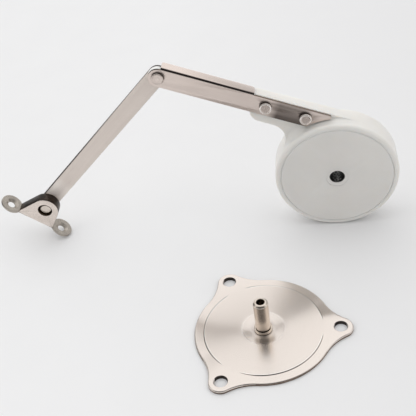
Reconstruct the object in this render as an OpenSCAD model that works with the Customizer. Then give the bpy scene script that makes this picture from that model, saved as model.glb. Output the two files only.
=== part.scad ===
// Damped flap stay: a rotary damper with a flanged arm, a riveted link and a
// flap bracket, with its mounting plate taken off and laid in front of it.
// The damper stands on its rim, the bracket on the edge of one ear.
// Millimetres, X to the right, Y to the back, Z up.

/* [Damper housing] */
// diameter of the round housing
housing_d = 67; // [60:0.5:76]
// depth of the housing from the cover's face to its back
body_depth = 18; // [15:0.5:24]
// how far the rim lies behind the cover's face
rim_drop = 0.25; // [0:0.05:1]
// rounding of the front rim
rim_round = 2; // [0.5:0.1:2.4]
// rounding of the back edge
back_round = 3; // [1:0.5:6]
// width of the rim round the cover
rim_w = 2.9; // [2.5:0.1:4]
// width of the ledge that the cover lies on
ledge_w = 4.6; // [3:0.1:6]
// thickness of the back wall
back_t = 3; // [2.5:0.1:4]
// thickness of the two barriers in the chamber
barrier_t = 6; // [4:0.5:8]

/* [Tongue] */
// edge of the tongue above the arm's centre line, in line with the round housing
tongue_high = 5.5; // [5.2:0.1:8]
// edge of the tongue below the arm's centre line
tongue_low = 10; // [8:0.5:12]
// end of the tongue beyond the outer rivet
tongue_margin = 7.4; // [5:0.1:9]
// corner radius at the low side of the tongue's end
tongue_corner = 6.5; // [3:0.5:8]
// fillet between the tongue and the round housing
tongue_fillet = 10; // [3:0.5:13]
// thickness of the tongue at its end
tongue_tip_t = 6.4; // [5.5:0.1:8]
// thickness of the tongue where it joins the housing
tongue_root_t = 7; // [6.6:0.1:11]
// bevel along the tongue's back edges
tongue_bevel = 1.2; // [0.4:0.1:2]

/* [Cover] */
// thickness of the cover
cover_t = 3; // [2.4:0.1:4]
// rounding of the cover's front edge
cover_round = 0.8; // [0.2:0.1:1.2]

/* [Rotor] */
// diameter of the hub inside the chamber
hub_d = 18; // [16:0.5:22]
// diameter of the journals in the cover and the back wall
journal_d = 12; // [11:0.1:13]
// bore for the mounting plate's post
bore_d = 7.8; // [7.7:0.05:8.4]
// chamfer at the mouths of the bore
bore_chamfer = 0.4; // [0.2:0.1:0.8]
// thickness of the two vanes
vane_t = 5; // [4:0.5:7]
// thickness of the rib at the end of a vane
vane_rib_t = 2.4; // [1.6:0.1:3]
// radial length of a valve cap
valve_len = 4; // [3:0.1:6]
// wall of a valve cap over the vane's rib
valve_wall = 1.5; // [1:0.1:2]
// thickness of the sealing rings
ring_t = 1.3; // [1:0.1:1.6]

/* [Main arm] */
// width of the arm
arm_w = 10; // [9:0.1:12]
// sheet thickness of the arm
arm_t = 1.2; // [1:0.1:1.5]
// front of the arm behind the cover's face
arm_y = 5; // [4:0.1:7]
// distance along the arm from the elbow to the foot of the damper's axis
arm_reach = 108; // [100:0.5:120]
// slope of the arm below the horizontal
arm_slope = 22.4; // [18:0.1:28]
// depth of the flange that is bent to the back
flange_depth = 6.2; // [5.4:0.1:7]
// start of the flange from the elbow
flange_start = 0.4; // [0:0.1:3]
// gap between the flange and the end of the tongue
flange_clear = 0.5; // [0.5:0.1:6]
// outer radius of the bend
bend_r = 1.3; // [1.3:0.1:2.4]
// blunt tip of the arm beyond the inner rivet
arm_tip = 12.6; // [9:0.1:16]
// rounding of the tip
arm_tip_r = 0.8; // [0.4:0.1:1]
// gap between the arm's cut end and the round housing
arm_end_gap = 1.1; // [0.5:0.1:2]
// inner rivet from the arm's cut end
rivet_edge = 5; // [4.4:0.1:7]
// distance between the two rivets
rivet_pitch = 22; // [18:0.1:24]

/* [Arm rivets] */
// shank diameter of an arm rivet
rivet_d = 4; // [3:0.1:4.4]
// head diameter of an arm rivet
rivet_head_d = 6.4; // [6:0.1:7]
// rounding of the rivet heads, as a share of their height
head_round = 0.45; // [0.2:0.05:0.8]
// head height of an arm rivet
rivet_head_h = 2; // [1:0.1:2.4]
// diameter of the upset tail of an arm rivet
rivet_tail_d = 5.6; // [5:0.1:6]
// height of the upset tail of an arm rivet
rivet_tail_h = 1; // [0.8:0.1:1.2]
// outside diameter of the washers under the tails
rivet_washer_d = 8; // [7:0.1:9]
// thickness of those washers
rivet_washer_t = 0.8; // [0.6:0.1:1]
// thickness of the tongue left under a washer
pocket_floor_t = 4; // [3:0.1:4.2]

/* [Elbow] */
// shank diameter of the pivot rivets
pivot_d = 5; // [4:0.1:5.4]
// head diameter of the elbow rivet
elbow_head_d = 6.6; // [6.2:0.1:8]
// head height of the elbow rivet
elbow_head_h = 1.5; // [1:0.1:2]
// tail diameter of the pivot rivets
pivot_tail_d = 6.8; // [6.4:0.1:7.4]
// tail height of the pivot rivets
pivot_tail_h = 1.1; // [0.8:0.1:1.4]
// thickness of the plastic spacer between the arms
spacer_t = 2.5; // [2:0.1:3]
// outside diameter of the spacer
spacer_d = 10; // [9:0.1:10.4]
// thickness of the washer behind the link
elbow_washer_t = 0.6; // [0.4:0.1:0.8]
// outside diameter of that washer
elbow_washer_d = 8.4; // [8:0.1:9]

/* [Link] */
// width of the link
link_w = 10; // [9:0.1:10.4]
// sheet thickness of the link
link_t = 1.2; // [1:0.1:1.5]
// distance between the link's two pivots
link_len = 112.3; // [105:0.5:125]

/* [Bracket] */
// depth of the bracket's block
bracket_depth = 6.5; // [6:0.1:8]
// height of the pivot above the base
bracket_pivot_h = 10.1; // [9.6:0.1:13]
// how far the pivot stands to the right of the middle of the base
pivot_shift = 1.7; // [0:0.1:2.5]
// radius of the rounded top about the pivot
bracket_top_r = 7.7; // [7:0.1:9]
// width of the flat at each end of the base
bracket_toe = 1.2; // [0.8:0.1:2]
// diameter of the recess for the rivet's head
recess_d = 8.2; // [7.9:0.1:9]
// depth of that recess
recess_depth = 3; // [2:0.1:3.6]
// head diameter of the bracket's rivet
bracket_head_d = 7.2; // [6:0.1:7.4]
// head height of the bracket's rivet
bracket_head_h = 1; // [0.8:0.1:1.4]
// thickness of the plastic washer between bracket and link
bracket_washer_t = 0.4; // [0.3:0.1:0.8]
// outside diameter of that washer
bracket_washer_d = 9; // [8:0.1:9.6]
// distance between the two screw holes
ear_spacing = 32; // [30:0.5:34]
// diameter of an ear
ear_d = 12.5; // [11:0.1:13]
// how far the block's end reaches into an ear
ear_overlap = 1.3; // [0.4:0.05:1.8]
// thickness of an ear
ear_t = 1.6; // [1.2:0.1:2.5]
// screw hole in an ear
ear_hole_d = 4.2; // [3.5:0.1:5]
// countersink of that hole
ear_sink_d = 7.4; // [6:0.1:8]
// depth of the countersink
ear_sink_h = 1.2; // [0.8:0.1:1.3]
// slope of the bracket's base below the horizontal
bracket_slope = 38.6; // [30:0.1:45]

/* [Mounting plate] */
// diameter of the plate between its ears
plate_d = 70; // [66:0.5:74]
// thickness of the plate
plate_t = 2; // [1.6:0.1:2.5]
// pitch circle of the three screw holes
plate_pcd = 77; // [74:0.5:80]
// screw holes in the plate
plate_hole_d = 6.6; // [5.5:0.1:7]
// diameter of an ear's end
plate_ear_d = 12.4; // [11.5:0.1:14]
// hollow radius between an ear and the round plate
plate_flank_r = 25; // [15:1:35]
// diameter of the formed step
step_d = 60; // [57:0.5:62]
// slope of the bands outside the step, in degrees
band_slope = 3; // [1.5:0.1:4]
// half angle over which a band reaches before it runs out
band_half = 45; // [40:1:46]
// width of the step's sloping wall
step_w = 0.9; // [0.6:0.1:1.6]
// diameter of the dish round the post
dish_d = 22; // [20:0.5:26]
// diameter of the dish's flat floor
dish_floor_d = 13; // [11:0.5:16]
// depth of the dish
dish_h = 0.9; // [0.5:0.1:1.1]
// turn of the plate as it lies
plate_turn = -1.3; // [-10:0.1:10]

/* [Pivot post] */
// diameter of the post
post_d = 7.6; // [7:0.05:7.7]
// height of the post above the plate
post_h = 18.6; // [16:0.1:24]
// chamfer at the post's top
post_chamfer = 0.9; // [0.4:0.1:1.2]
// diameter of the hole in the post
post_hole_d = 4.2; // [3.2:0.1:4.4]
// depth of that hole
post_hole_depth = 14; // [10:0.5:14.5]
// diameter of the collar at the foot of the post
collar_d = 9.2; // [8.8:0.1:10]
// height of the collar
collar_h = 1.8; // [1.2:0.1:2.6]
// diameter of the tenon that holds the post in the plate
tenon_d = 6; // [5:0.1:6.4]
// bevel of the tenon's riveted end
tenon_bevel = 0.7; // [0.4:0.1:1]

/* [Layout] */
// plate centre to the left of the damper's axis
plate_left = 42.1; // [36:0.1:50]
// plate centre in front of the cover's face
plate_front = 78.6; // [70:0.1:90]

/* [Fits] */
// radial clearance of a running fit
run = 0.05; // [0.02:0.01:0.1]
// radial clearance of a fixed fit
seat = 0.02; // [0.01:0.01:0.04]
// end play at a turning joint
play = 0.05; // [0.02:0.01:0.1]
// room round the rotor inside the chamber
chamber_gap = 0.3; // [0.2:0.05:0.5]
// room between the link's edge and the arm's flange
flange_gap = 0.25; // [0.2:0.05:0.5]

/* [Hidden] */
$fn = 96;
e = 0.01;

housing_r = housing_d / 2;
cover_r = housing_r - rim_w;
chamber_r = cover_r - ledge_w;
journal_r = journal_d / 2;
back_wall_y = body_depth - back_t;
ring_mid_r = journal_r + run + ring_t / 2;
gland_r = ring_mid_r + ring_t / 2 + seat;
gland_depth = ring_t + 2 * seat;
rotor_y0 = cover_t + chamber_gap;
rotor_y1 = back_wall_y - chamber_gap;
vane_end = chamber_r - chamber_gap;
vane_body_end = vane_end - valve_len;
vane_rib_end = vane_end - valve_wall;

arm_back = arm_y + arm_t;
flange_in = link_w / 2 + flange_gap;
flange_out = flange_in + arm_t;
arm_end_r = housing_r + arm_end_gap;
arm_offset = housing_r - tongue_high;
inner_at = arm_reach - sqrt(pow(arm_end_r + rivet_edge, 2) - pow(arm_offset, 2));
rivet_at = [inner_at - rivet_pitch, inner_at];
tongue_start = rivet_at[0] - tongue_margin;
flange_end = tongue_start - flange_clear;
arm_len = rivet_at[1] + arm_tip;
fillet_at = [arm_reach - sqrt(pow(housing_r + tongue_fillet, 2)
             - pow(arm_offset - tongue_low - tongue_fillet, 2)),
             -tongue_low - tongue_fillet];
axis_at = [arm_reach, -arm_offset];
pocket_y = arm_back + pocket_floor_t;

link_y0 = arm_back + spacer_t + play;
link_y1 = link_y0 + link_t;
elbow_washer_y = link_y1 + play;

bracket_y1 = link_y0 - play - bracket_washer_t;
bracket_y0 = bracket_y1 - bracket_depth;
ear_y = (bracket_y0 + bracket_y1) / 2;
ear_r = ear_d / 2;
recess_y = bracket_y0 + recess_depth;

elbow_x = arm_offset * sin(arm_slope) - arm_reach * cos(arm_slope);
elbow_z = housing_r + arm_offset * cos(arm_slope) + arm_reach * sin(arm_slope);
bracket_reach = ear_spacing / 2 + ear_r;
bracket_half = ear_spacing / 2 - ear_r + ear_overlap;
bracket_z = bracket_pivot_h * cos(bracket_slope) + (bracket_reach - pivot_shift) * sin(bracket_slope);
link_dip = asin((elbow_z - bracket_z) / link_len);
bracket_x = elbow_x - link_len * cos(link_dip);

plate_ear_r = plate_ear_d / 2;
plate_hole_at = plate_pcd / 2;
dish_z = plate_t - dish_h;
post_top = plate_t + post_h;
band_from = step_d / 2 * cos(band_half);
step_drop = (step_d / 2 - band_from) * tan(band_slope);
step_flare = 2 * step_w * plate_t / step_drop;

x_max = max(housing_r, plate_hole_at + plate_ear_r - plate_left);
x_min = bracket_x - (bracket_reach + pivot_shift) * cos(bracket_slope) - bracket_pivot_h * sin(bracket_slope);
y_min = -plate_front - plate_hole_at * sin(60 + plate_turn) - plate_ear_r;
middle = [(x_min + x_max) / 2, (y_min + body_depth) / 2, 0];

// places
module at_damper() translate([0, 0, housing_r] - middle) children();
module at_arm() translate([elbow_x, 0, elbow_z] - middle) rotate([0, arm_slope, 0]) children();
module at_link() translate([elbow_x, 0, elbow_z] - middle) rotate([0, 180 - link_dip, 0]) children();
module at_bracket() translate([bracket_x, 0, bracket_z] - middle) rotate([0, bracket_slope, 0]) children();
module at_plate() translate([-plate_left, -plate_front, 0] - middle) rotate(plate_turn) children();

// a flat shape drawn in X and Z, from depth y0 to depth y1
module slab(y0, y1) translate([0, y1, 0]) rotate([90, 0, 0]) linear_extrude(y1 - y0) children();

// a profile of radius and depth turned about the Y axis
module turned() rotate([-90, 0, 0]) rotate_extrude() children();

// a round bar along Y
module bar(d, y0, y1) translate([0, y0, 0]) rotate([-90, 0, 0]) cylinder(h = y1 - y0, d = d);

// a cone along Y
module cone(d0, d1, y0, y1) translate([0, y0, 0]) rotate([-90, 0, 0]) cylinder(h = y1 - y0, d1 = d0, d2 = d1);

// what a rounding of radius r takes off a corner at the origin, towards -X and -Y
module corner_cut(r) difference() {
    translate([-r, -r]) square(r + 1);
    translate([-r, -r]) circle(r);
}

// a flat bar with one round end at the origin
module strap(w, len) {
    circle(d = w);
    translate([0, -w / 2]) square([len, w]);
}

// a rivet head of height h that ends at depth y, rounded in front
module button(d, h, y) turned() translate([0, y - h]) difference() {
    square([d / 2, h]);
    translate([d / 2, 0]) mirror([0, 1]) corner_cut(h * head_round);
}

// housing
module body_round() turned() difference() {
    translate([0, rim_drop]) square([housing_r, body_depth - rim_drop]);
    translate([housing_r, rim_drop]) mirror([0, 1]) corner_cut(rim_round);
    translate([housing_r, body_depth]) corner_cut(back_round);
}

module tongue_shape() {
    difference() {
        translate([tongue_start, -tongue_low])
            square([arm_reach - tongue_start, tongue_low + tongue_high]);
        translate([tongue_start, -tongue_low]) mirror([1, 0]) mirror([0, 1]) corner_cut(tongue_corner);
    }
    difference() {
        polygon([fillet_at, [fillet_at.x, -tongue_low + e], [arm_reach, -tongue_low + e], axis_at]);
        translate(fillet_at) circle(tongue_fillet);
    }
}

// the tongue seen from above, with its back sloping and its edges bevelled at the end
module tongue_plan() polygon([
    [tongue_start, arm_back],
    [arm_reach, arm_back],
    [arm_reach, arm_back + tongue_root_t],
    [rivet_at[1], arm_back + tongue_root_t],
    [tongue_start + tongue_bevel, arm_back + tongue_tip_t],
    [tongue_start, arm_back + tongue_tip_t - tongue_bevel]]);

module tongue() intersection() {
    slab(arm_back, arm_back + tongue_root_t) tongue_shape();
    translate([0, 0, -housing_d]) linear_extrude(2 * housing_d) tongue_plan();
}

module barrier() intersection() {
    translate([-barrier_t / 2, cover_t, hub_d / 2 + chamber_gap])
        cube([barrier_t, back_wall_y - cover_t + e, chamber_r]);
    bar(2 * chamber_r + 2 * e, cover_t, body_depth);
}

module housing() color([0.9, 0.9, 0.87]) difference() {
    union() {
        difference() {
            union() {
                at_damper() body_round();
                at_arm() tongue();
            }
            at_damper() bar(2 * chamber_r, cover_t, back_wall_y);
        }
        at_damper() for (k = [0, 180]) rotate([0, k, 0]) barrier();
    }
    at_damper() {
        bar(2 * (cover_r + seat), -1, cover_t);
        bar(journal_d + 2 * run, back_wall_y - 1, body_depth + 1);
        bar(2 * gland_r, back_wall_y - e, back_wall_y + gland_depth);
    }
    at_arm() for (s = rivet_at) translate([s, 0, 0]) {
        bar(rivet_d + 2 * seat, arm_back - 1, pocket_y + 1);
        bar(rivet_washer_d + 2 * run, pocket_y, body_depth);
    }
}

module cover() color([0.8, 0.79, 0.77]) at_damper() difference() {
    turned() difference() {
        square([cover_r, cover_t]);
        translate([cover_r, 0]) mirror([0, 1]) corner_cut(cover_round);
    }
    bar(journal_d + 2 * run, -1, cover_t + 1);
    bar(2 * gland_r, cover_t - gland_depth, cover_t + 1);
}

// rotor, its valve caps and the sealing rings
module rotor() color([0.2, 0.2, 0.21]) at_damper() difference() {
    union() {
        bar(journal_d, rim_drop, body_depth - rim_drop);
        bar(hub_d, rotor_y0, rotor_y1);
        for (k = [0, 180]) rotate([0, k, 0]) {
            slab(rotor_y0, rotor_y1) translate([0, -vane_t / 2]) square([vane_body_end, vane_t]);
            slab(rotor_y0, rotor_y1) translate([0, -vane_rib_t / 2]) square([vane_rib_end, vane_rib_t]);
        }
    }
    bar(bore_d, -1, body_depth + 1);
    cone(bore_d + 2 * (bore_chamfer + 1), bore_d, rim_drop - 1, rim_drop + bore_chamfer);
    cone(bore_d, bore_d + 2 * (bore_chamfer + 1), body_depth - rim_drop - bore_chamfer, body_depth - rim_drop + 1);
}

module check_valve(k) color([0.55, 0.57, 0.58]) at_damper() rotate([0, k, 0])
    slab(rotor_y0 + play, rotor_y1 - play) difference() {
        intersection() {
            translate([vane_body_end + play, -vane_t / 2]) square([valve_len, vane_t]);
            circle(vane_end);
        }
        translate([0, -vane_rib_t / 2 - run]) square([vane_rib_end + run, vane_rib_t + 2 * run]);
    }

module check_valve_a() check_valve(0);
module check_valve_b() check_valve(180);

module seal_ring(y) color([0.1, 0.1, 0.1]) at_damper() turned() translate([ring_mid_r, y]) circle(d = ring_t);

module front_ring() seal_ring(cover_t - seat - ring_t / 2);
module back_ring() seal_ring(back_wall_y + seat + ring_t / 2);

// main arm and its rivets
module flange_bend() difference() {
    translate([arm_w / 2 - arm_t, arm_y]) square([flange_out - arm_w / 2 + arm_t, flange_depth]);
    translate([arm_w / 2 - arm_t - 1, arm_back]) square([flange_in - arm_w / 2 + arm_t + 1, flange_depth]);
    translate([flange_out, arm_y]) mirror([0, 1]) corner_cut(bend_r);
}

module main_arm() color([0.78, 0.74, 0.69]) at_arm() difference() {
    union() {
        slab(arm_y, arm_back) difference() {
            strap(arm_w, arm_len);
            translate(axis_at) circle(arm_end_r);
            translate([arm_len, arm_w / 2]) corner_cut(arm_tip_r);
        }
        intersection() {
            translate([flange_start, 0, 0]) rotate([0, -90, 0]) mirror([0, 0, 1])
                linear_extrude(flange_end - flange_start) flange_bend();
            translate([0, 0, arm_w / 2 - arm_t - 1]) linear_extrude(flange_out) difference() {
                translate([flange_start, arm_y]) square([flange_end - flange_start, flange_depth]);
                translate([flange_end, arm_y + flange_depth]) corner_cut(bend_r);
                translate([flange_start, arm_y + flange_depth]) mirror([1, 0]) corner_cut(bend_r);
            }
        }
    }
    bar(pivot_d + 2 * seat, arm_y - 1, arm_back + 1);
    for (s = rivet_at) translate([s, 0, 0]) bar(rivet_d + 2 * seat, arm_y - 1, arm_back + 1);
}

module arm_rivet(s) color([0.74, 0.7, 0.66]) at_arm() translate([s, 0, 0]) {
    button(rivet_head_d, rivet_head_h, arm_y);
    bar(rivet_d, arm_y - e, pocket_y + rivet_washer_t + e);
    bar(rivet_tail_d, pocket_y + rivet_washer_t, pocket_y + rivet_washer_t + rivet_tail_h);
}

module rivet_washer(s) color([0.7, 0.7, 0.7]) at_arm() translate([s, 0, 0]) difference() {
    bar(rivet_washer_d, pocket_y, pocket_y + rivet_washer_t);
    bar(rivet_d + 2 * seat, pocket_y - 1, pocket_y + rivet_washer_t + 1);
}

module arm_rivet_outer() arm_rivet(rivet_at[0]);
module arm_rivet_inner() arm_rivet(rivet_at[1]);
module rivet_washer_outer() rivet_washer(rivet_at[0]);
module rivet_washer_inner() rivet_washer(rivet_at[1]);

// elbow
module elbow_rivet() color([0.74, 0.7, 0.66]) at_arm() {
    button(elbow_head_d, elbow_head_h, arm_y);
    bar(pivot_d, arm_y - e, elbow_washer_y + elbow_washer_t + e);
    bar(pivot_tail_d, elbow_washer_y + elbow_washer_t, elbow_washer_y + elbow_washer_t + pivot_tail_h);
}

module elbow_spacer() color([0.95, 0.95, 0.93]) at_arm() difference() {
    bar(spacer_d, arm_back, arm_back + spacer_t);
    bar(pivot_d + 2 * seat, arm_back - 1, arm_back + spacer_t + 1);
}

module elbow_washer() color([0.7, 0.7, 0.7]) at_arm() difference() {
    bar(elbow_washer_d, elbow_washer_y, elbow_washer_y + elbow_washer_t);
    bar(pivot_d + 2 * seat, elbow_washer_y - 1, elbow_washer_y + elbow_washer_t + 1);
}

// link
module link() color([0.79, 0.75, 0.71]) at_link() slab(link_y0, link_y1) difference() {
    union() {
        strap(link_w, link_len);
        translate([link_len, 0]) circle(d = link_w);
    }
    for (s = [0, link_len]) translate([s, 0]) circle(d = pivot_d + 2 * run);
}

// bracket
module bracket_side(m) mirror([m, 0]) {
    toe = [bracket_half + (2 * m - 1) * pivot_shift, bracket_toe - bracket_pivot_h];
    reach = sqrt(toe.x * toe.x + toe.y * toe.y);
    lean = atan2(toe.y, toe.x) + acos(bracket_top_r / reach);
    polygon([[0, 0], [0, -bracket_pivot_h], [toe.x, -bracket_pivot_h], toe,
             bracket_top_r * [cos(lean), sin(lean)]]);
}

module at_ears() for (m = [-1, 1])
    translate([m * ear_spacing / 2 - pivot_shift, ear_y, -bracket_pivot_h]) children();

module bracket() color([0.74, 0.71, 0.67]) at_bracket() difference() {
    union() {
        slab(bracket_y0, bracket_y1) {
            bracket_side(0);
            bracket_side(1);
            circle(bracket_top_r);
        }
        at_ears() cylinder(h = ear_t, d = ear_d);
    }
    bar(recess_d, bracket_y0 - 1, recess_y);
    bar(pivot_d + 2 * seat, bracket_y0, bracket_y1 + 1);
    at_ears() {
        translate([0, 0, -1]) cylinder(h = ear_t + 2, d = ear_hole_d);
        translate([0, 0, ear_t - ear_sink_h]) cylinder(h = ear_sink_h, d1 = ear_hole_d, d2 = ear_sink_d);
        translate([0, 0, ear_t - e]) cylinder(h = bracket_pivot_h, d = ear_sink_d);
    }
}

module bracket_rivet() color([0.72, 0.69, 0.65]) at_bracket() {
    button(bracket_head_d, bracket_head_h, recess_y);
    bar(pivot_d, recess_y - e, link_y1 + play + e);
    bar(pivot_tail_d, link_y1 + play, link_y1 + play + pivot_tail_h);
}

module bracket_washer() color([0.95, 0.95, 0.93]) at_bracket() difference() {
    bar(bracket_washer_d, bracket_y1, bracket_y1 + bracket_washer_t);
    bar(pivot_d + 2 * seat, bracket_y1 - 1, bracket_y1 + bracket_washer_t + 1);
}

// mounting plate
module plate_flank(m) mirror([0, m]) {
    far = plate_d / 2 + plate_flank_r;
    near = plate_ear_r + plate_flank_r;
    turn = acos((far * far + plate_hole_at * plate_hole_at - near * near) / (2 * far * plate_hole_at));
    hollow = far * [cos(turn), sin(turn)];
    difference() {
        polygon([[0, 0], [plate_hole_at, 0], hollow]);
        translate(hollow) circle(plate_flank_r);
    }
}

module plate_shape() {
    circle(d = plate_d);
    for (k = [0, 120, 240]) rotate(k) {
        translate([plate_hole_at, 0]) circle(plate_ear_r);
        plate_flank(0);
        plate_flank(1);
    }
}

// what is pressed down outside the step between two ears
module band() difference() {
    translate([band_from, -plate_d, plate_t]) rotate([0, band_slope, 0]) cube([plate_d, 2 * plate_d, plate_t]);
    cylinder(h = 2 * plate_t, d1 = step_d + step_flare, d2 = step_d - step_flare);
}

module mounting_plate() color([0.83, 0.79, 0.75]) at_plate() difference() {
    linear_extrude(plate_t) plate_shape();
    for (k = [60, 180, 300]) rotate(k) {
        band();
        translate([-plate_hole_at, 0, -1]) cylinder(h = plate_t + 2, d = plate_hole_d);
    }
    translate([0, 0, dish_z]) cylinder(h = dish_h + e, d1 = dish_floor_d, d2 = dish_d + e);
    translate([0, 0, -1]) cylinder(h = plate_t + 2, d = tenon_d + 2 * seat);
    translate([0, 0, -e]) cylinder(h = tenon_bevel, d1 = tenon_d + 2 * (tenon_bevel + seat), d2 = tenon_d + 2 * seat);
}

module pivot_post() color([0.72, 0.68, 0.63]) at_plate() difference() {
    rotate_extrude() polygon([
        [0, seat],
        [tenon_d / 2 + tenon_bevel - 2 * seat, seat],
        [tenon_d / 2, tenon_bevel - seat],
        [tenon_d / 2, dish_z],
        [collar_d / 2, dish_z],
        [collar_d / 2, dish_z + collar_h],
        [post_d / 2, dish_z + collar_h],
        [post_d / 2, post_top - post_chamfer],
        [post_d / 2 - post_chamfer, post_top],
        [0, post_top]]);
    translate([0, 0, post_top - post_hole_depth]) cylinder(h = post_hole_depth + 1, d = post_hole_d);
}

housing();
cover();
rotor();
check_valve_a();
check_valve_b();
front_ring();
back_ring();
main_arm();
arm_rivet_outer();
arm_rivet_inner();
rivet_washer_outer();
rivet_washer_inner();
elbow_rivet();
elbow_spacer();
elbow_washer();
link();
bracket();
bracket_rivet();
bracket_washer();
mounting_plate();
pivot_post();
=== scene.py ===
from math import atan2, cos, pi, radians, sin

import bmesh
import bpy
import numpy as np
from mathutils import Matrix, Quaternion, Vector


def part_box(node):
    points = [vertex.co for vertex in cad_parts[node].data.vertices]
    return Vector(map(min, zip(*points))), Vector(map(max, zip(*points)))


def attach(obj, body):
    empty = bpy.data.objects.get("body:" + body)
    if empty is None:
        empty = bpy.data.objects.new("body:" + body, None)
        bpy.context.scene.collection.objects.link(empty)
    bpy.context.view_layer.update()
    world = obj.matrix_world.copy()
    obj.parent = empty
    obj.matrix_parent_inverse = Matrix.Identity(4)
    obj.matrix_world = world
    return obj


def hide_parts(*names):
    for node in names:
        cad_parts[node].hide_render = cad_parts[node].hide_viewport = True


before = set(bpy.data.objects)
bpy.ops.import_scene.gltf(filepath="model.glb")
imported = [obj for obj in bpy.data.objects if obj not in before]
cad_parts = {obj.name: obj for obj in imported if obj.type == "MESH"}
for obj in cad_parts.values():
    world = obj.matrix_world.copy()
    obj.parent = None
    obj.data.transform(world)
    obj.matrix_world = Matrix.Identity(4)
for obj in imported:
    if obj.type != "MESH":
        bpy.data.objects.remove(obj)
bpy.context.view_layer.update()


# Damper housing: the round body with its tongue, one moulding in off-white acetal.
# It holds the oil and the rotor, and the arm is riveted to its tongue.
# The edges come from the mould, so each one carries a small rounding.
mm = 0.001


def centre(cad_node):
    """The middle of a solid's box, which is on the axis of a round piece."""
    low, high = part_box(cad_node)
    return (low + high) / 2


damper_x, damper_z = centre("cover").x, centre("cover").z
damper_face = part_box("cover")[0].y


def linked(name, data):
    """A new object with this mesh, lamp or camera, in the scene."""
    made = bpy.data.objects.new(name, data)
    bpy.context.scene.collection.objects.link(made)
    return made


def dressed(piece, body, slot, *cad_nodes):
    """Lets a piece move with its body and hides the solids it stands for; the slot, which would name its
    finish, is not used.
    """
    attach(piece, body)
    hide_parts(*cad_nodes)
    return piece


def eased(name, cad_node, body, slot, width, steps=3, sharp=32):
    """A copy of a solid with its corners rounded: coincident points are merged, flat faces are
    joined again, and every edge sharper than the angle gets a rounding of the given width."""
    same_point, same_plane = 2e-6, radians(0.4)
    mesh = bpy.data.meshes.new(name)
    work = bmesh.new()
    work.from_mesh(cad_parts[cad_node].data)
    bmesh.ops.remove_doubles(work, verts=work.verts, dist=same_point)
    bmesh.ops.dissolve_limit(work, angle_limit=same_plane, verts=work.verts, edges=work.edges)
    work.to_mesh(mesh)
    work.free()
    mesh.shade_smooth()
    piece = linked(name, mesh)
    rounding = piece.modifiers.new("rounding", "BEVEL")
    rounding.width = width
    rounding.segments = steps
    rounding.limit_method = "ANGLE"
    rounding.angle_limit = radians(sharp)
    rounding.harden_normals = True
    return dressed(piece, body, slot, cad_node)


def finish(name, **plain):
    """A new material: its tree and its shader, with the plain values set on the shader."""
    made = bpy.data.materials.new(name)
    made.use_nodes = True
    shader = made.node_tree.nodes["Principled BSDF"]
    for socket, value in plain.items():
        shader.inputs[socket.replace("_", " ")].default_value = value
    return made, made.node_tree, shader


def feed(tree, shader, **outputs):
    """Links outputs to the shader's sockets."""
    for socket, output in outputs.items():
        tree.links.new(output, shader.inputs[socket.replace("_", " ")])


def add(tree, kind, options=None, **sockets):
    """One node; each socket, by its name or as i and its number, is given a value, or the output
    that feeds it."""
    made = tree.nodes.new("ShaderNode" + kind)
    for option, value in (options or {}).items():
        setattr(made, option, value)
    for socket, value in sockets.items():
        target = made.inputs[int(socket[1:]) if socket[0] == "i" and socket[1:].isdigit() else socket]
        if isinstance(value, bpy.types.NodeSocket):
            tree.links.new(value, target)
        else:
            target.default_value = value
    return made


def tones(tree, amount, *stops):
    """A ramp of colours: each stop is a place from 0 to 1 and a linear colour."""
    made = add(tree, "ValToRGB", Fac=amount)
    ramp = made.color_ramp
    while len(ramp.elements) < len(stops):
        ramp.elements.new(1)
    for element, (place, colour) in zip(ramp.elements, stops):
        element.position = place
        element.color = (*colour, 1)
    return made.outputs["Color"]


def span(tree, amount, low, high, start=0.0, end=1.0):
    """Maps an amount from start..end to low..high, held at the ends."""
    made = add(tree, "MapRange", i0=amount, i1=start, i2=end, i3=low, i4=high)
    return made.outputs["Result"]


def noise(tree, place, scale, detail, rough=0.5):
    """Cloudy noise read at a place."""
    return add(tree, "TexNoise", Vector=place, Scale=scale, Detail=detail, Roughness=rough).outputs["Fac"]


def relief(tree, strength, depth, height):
    """A bumped normal from a height."""
    return add(tree, "Bump", Strength=strength, Distance=depth, Height=height).outputs["Normal"]


def moulding(name, light, dark, rough, grain, glow=0.0):
    """Moulded plastic: two close tones in slow clouds, a roughness that drifts with them, the fine
    orange-peel grain of the mould as bump, and light that spreads a little way under the skin."""
    made, tree, shader = finish(name, Metallic=0.0, IOR=1.48, Subsurface_Weight=glow,
                                Subsurface_Radius=(1.0, 0.9, 0.8), Subsurface_Scale=0.002)
    place = add(tree, "TexCoord").outputs["Object"]
    cloud = noise(tree, place, 55.0, 4.0, 0.6)
    fine = noise(tree, place, 2600.0, 3.0, 0.55)
    feed(tree, shader, Base_Color=tones(tree, cloud, (0.32, dark), (0.68, light)),
         Roughness=span(tree, cloud, rough - 0.05, rough + 0.06, 0.3, 0.7),
         Normal=relief(tree, grain, 0.00004, fine))
    return made


acetal_light, acetal_dark = (0.83, 0.812, 0.775), (0.80, 0.78, 0.742)
housing_white = moulding("housing_white", acetal_light, acetal_dark, rough=0.40, grain=0.25, glow=0.7)
housing = eased("housing_body", "housing", "damper", "housing_white", 0.9 * mm, 4)
housing.data.materials.append(housing_white)


# Cove: where the tongue's front meets the round body, the moulding runs over in a hollow curve.
# It is the same shot of acetal as the housing, narrow beside the arm's end and wide below it.
crease = radians(38)


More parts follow.
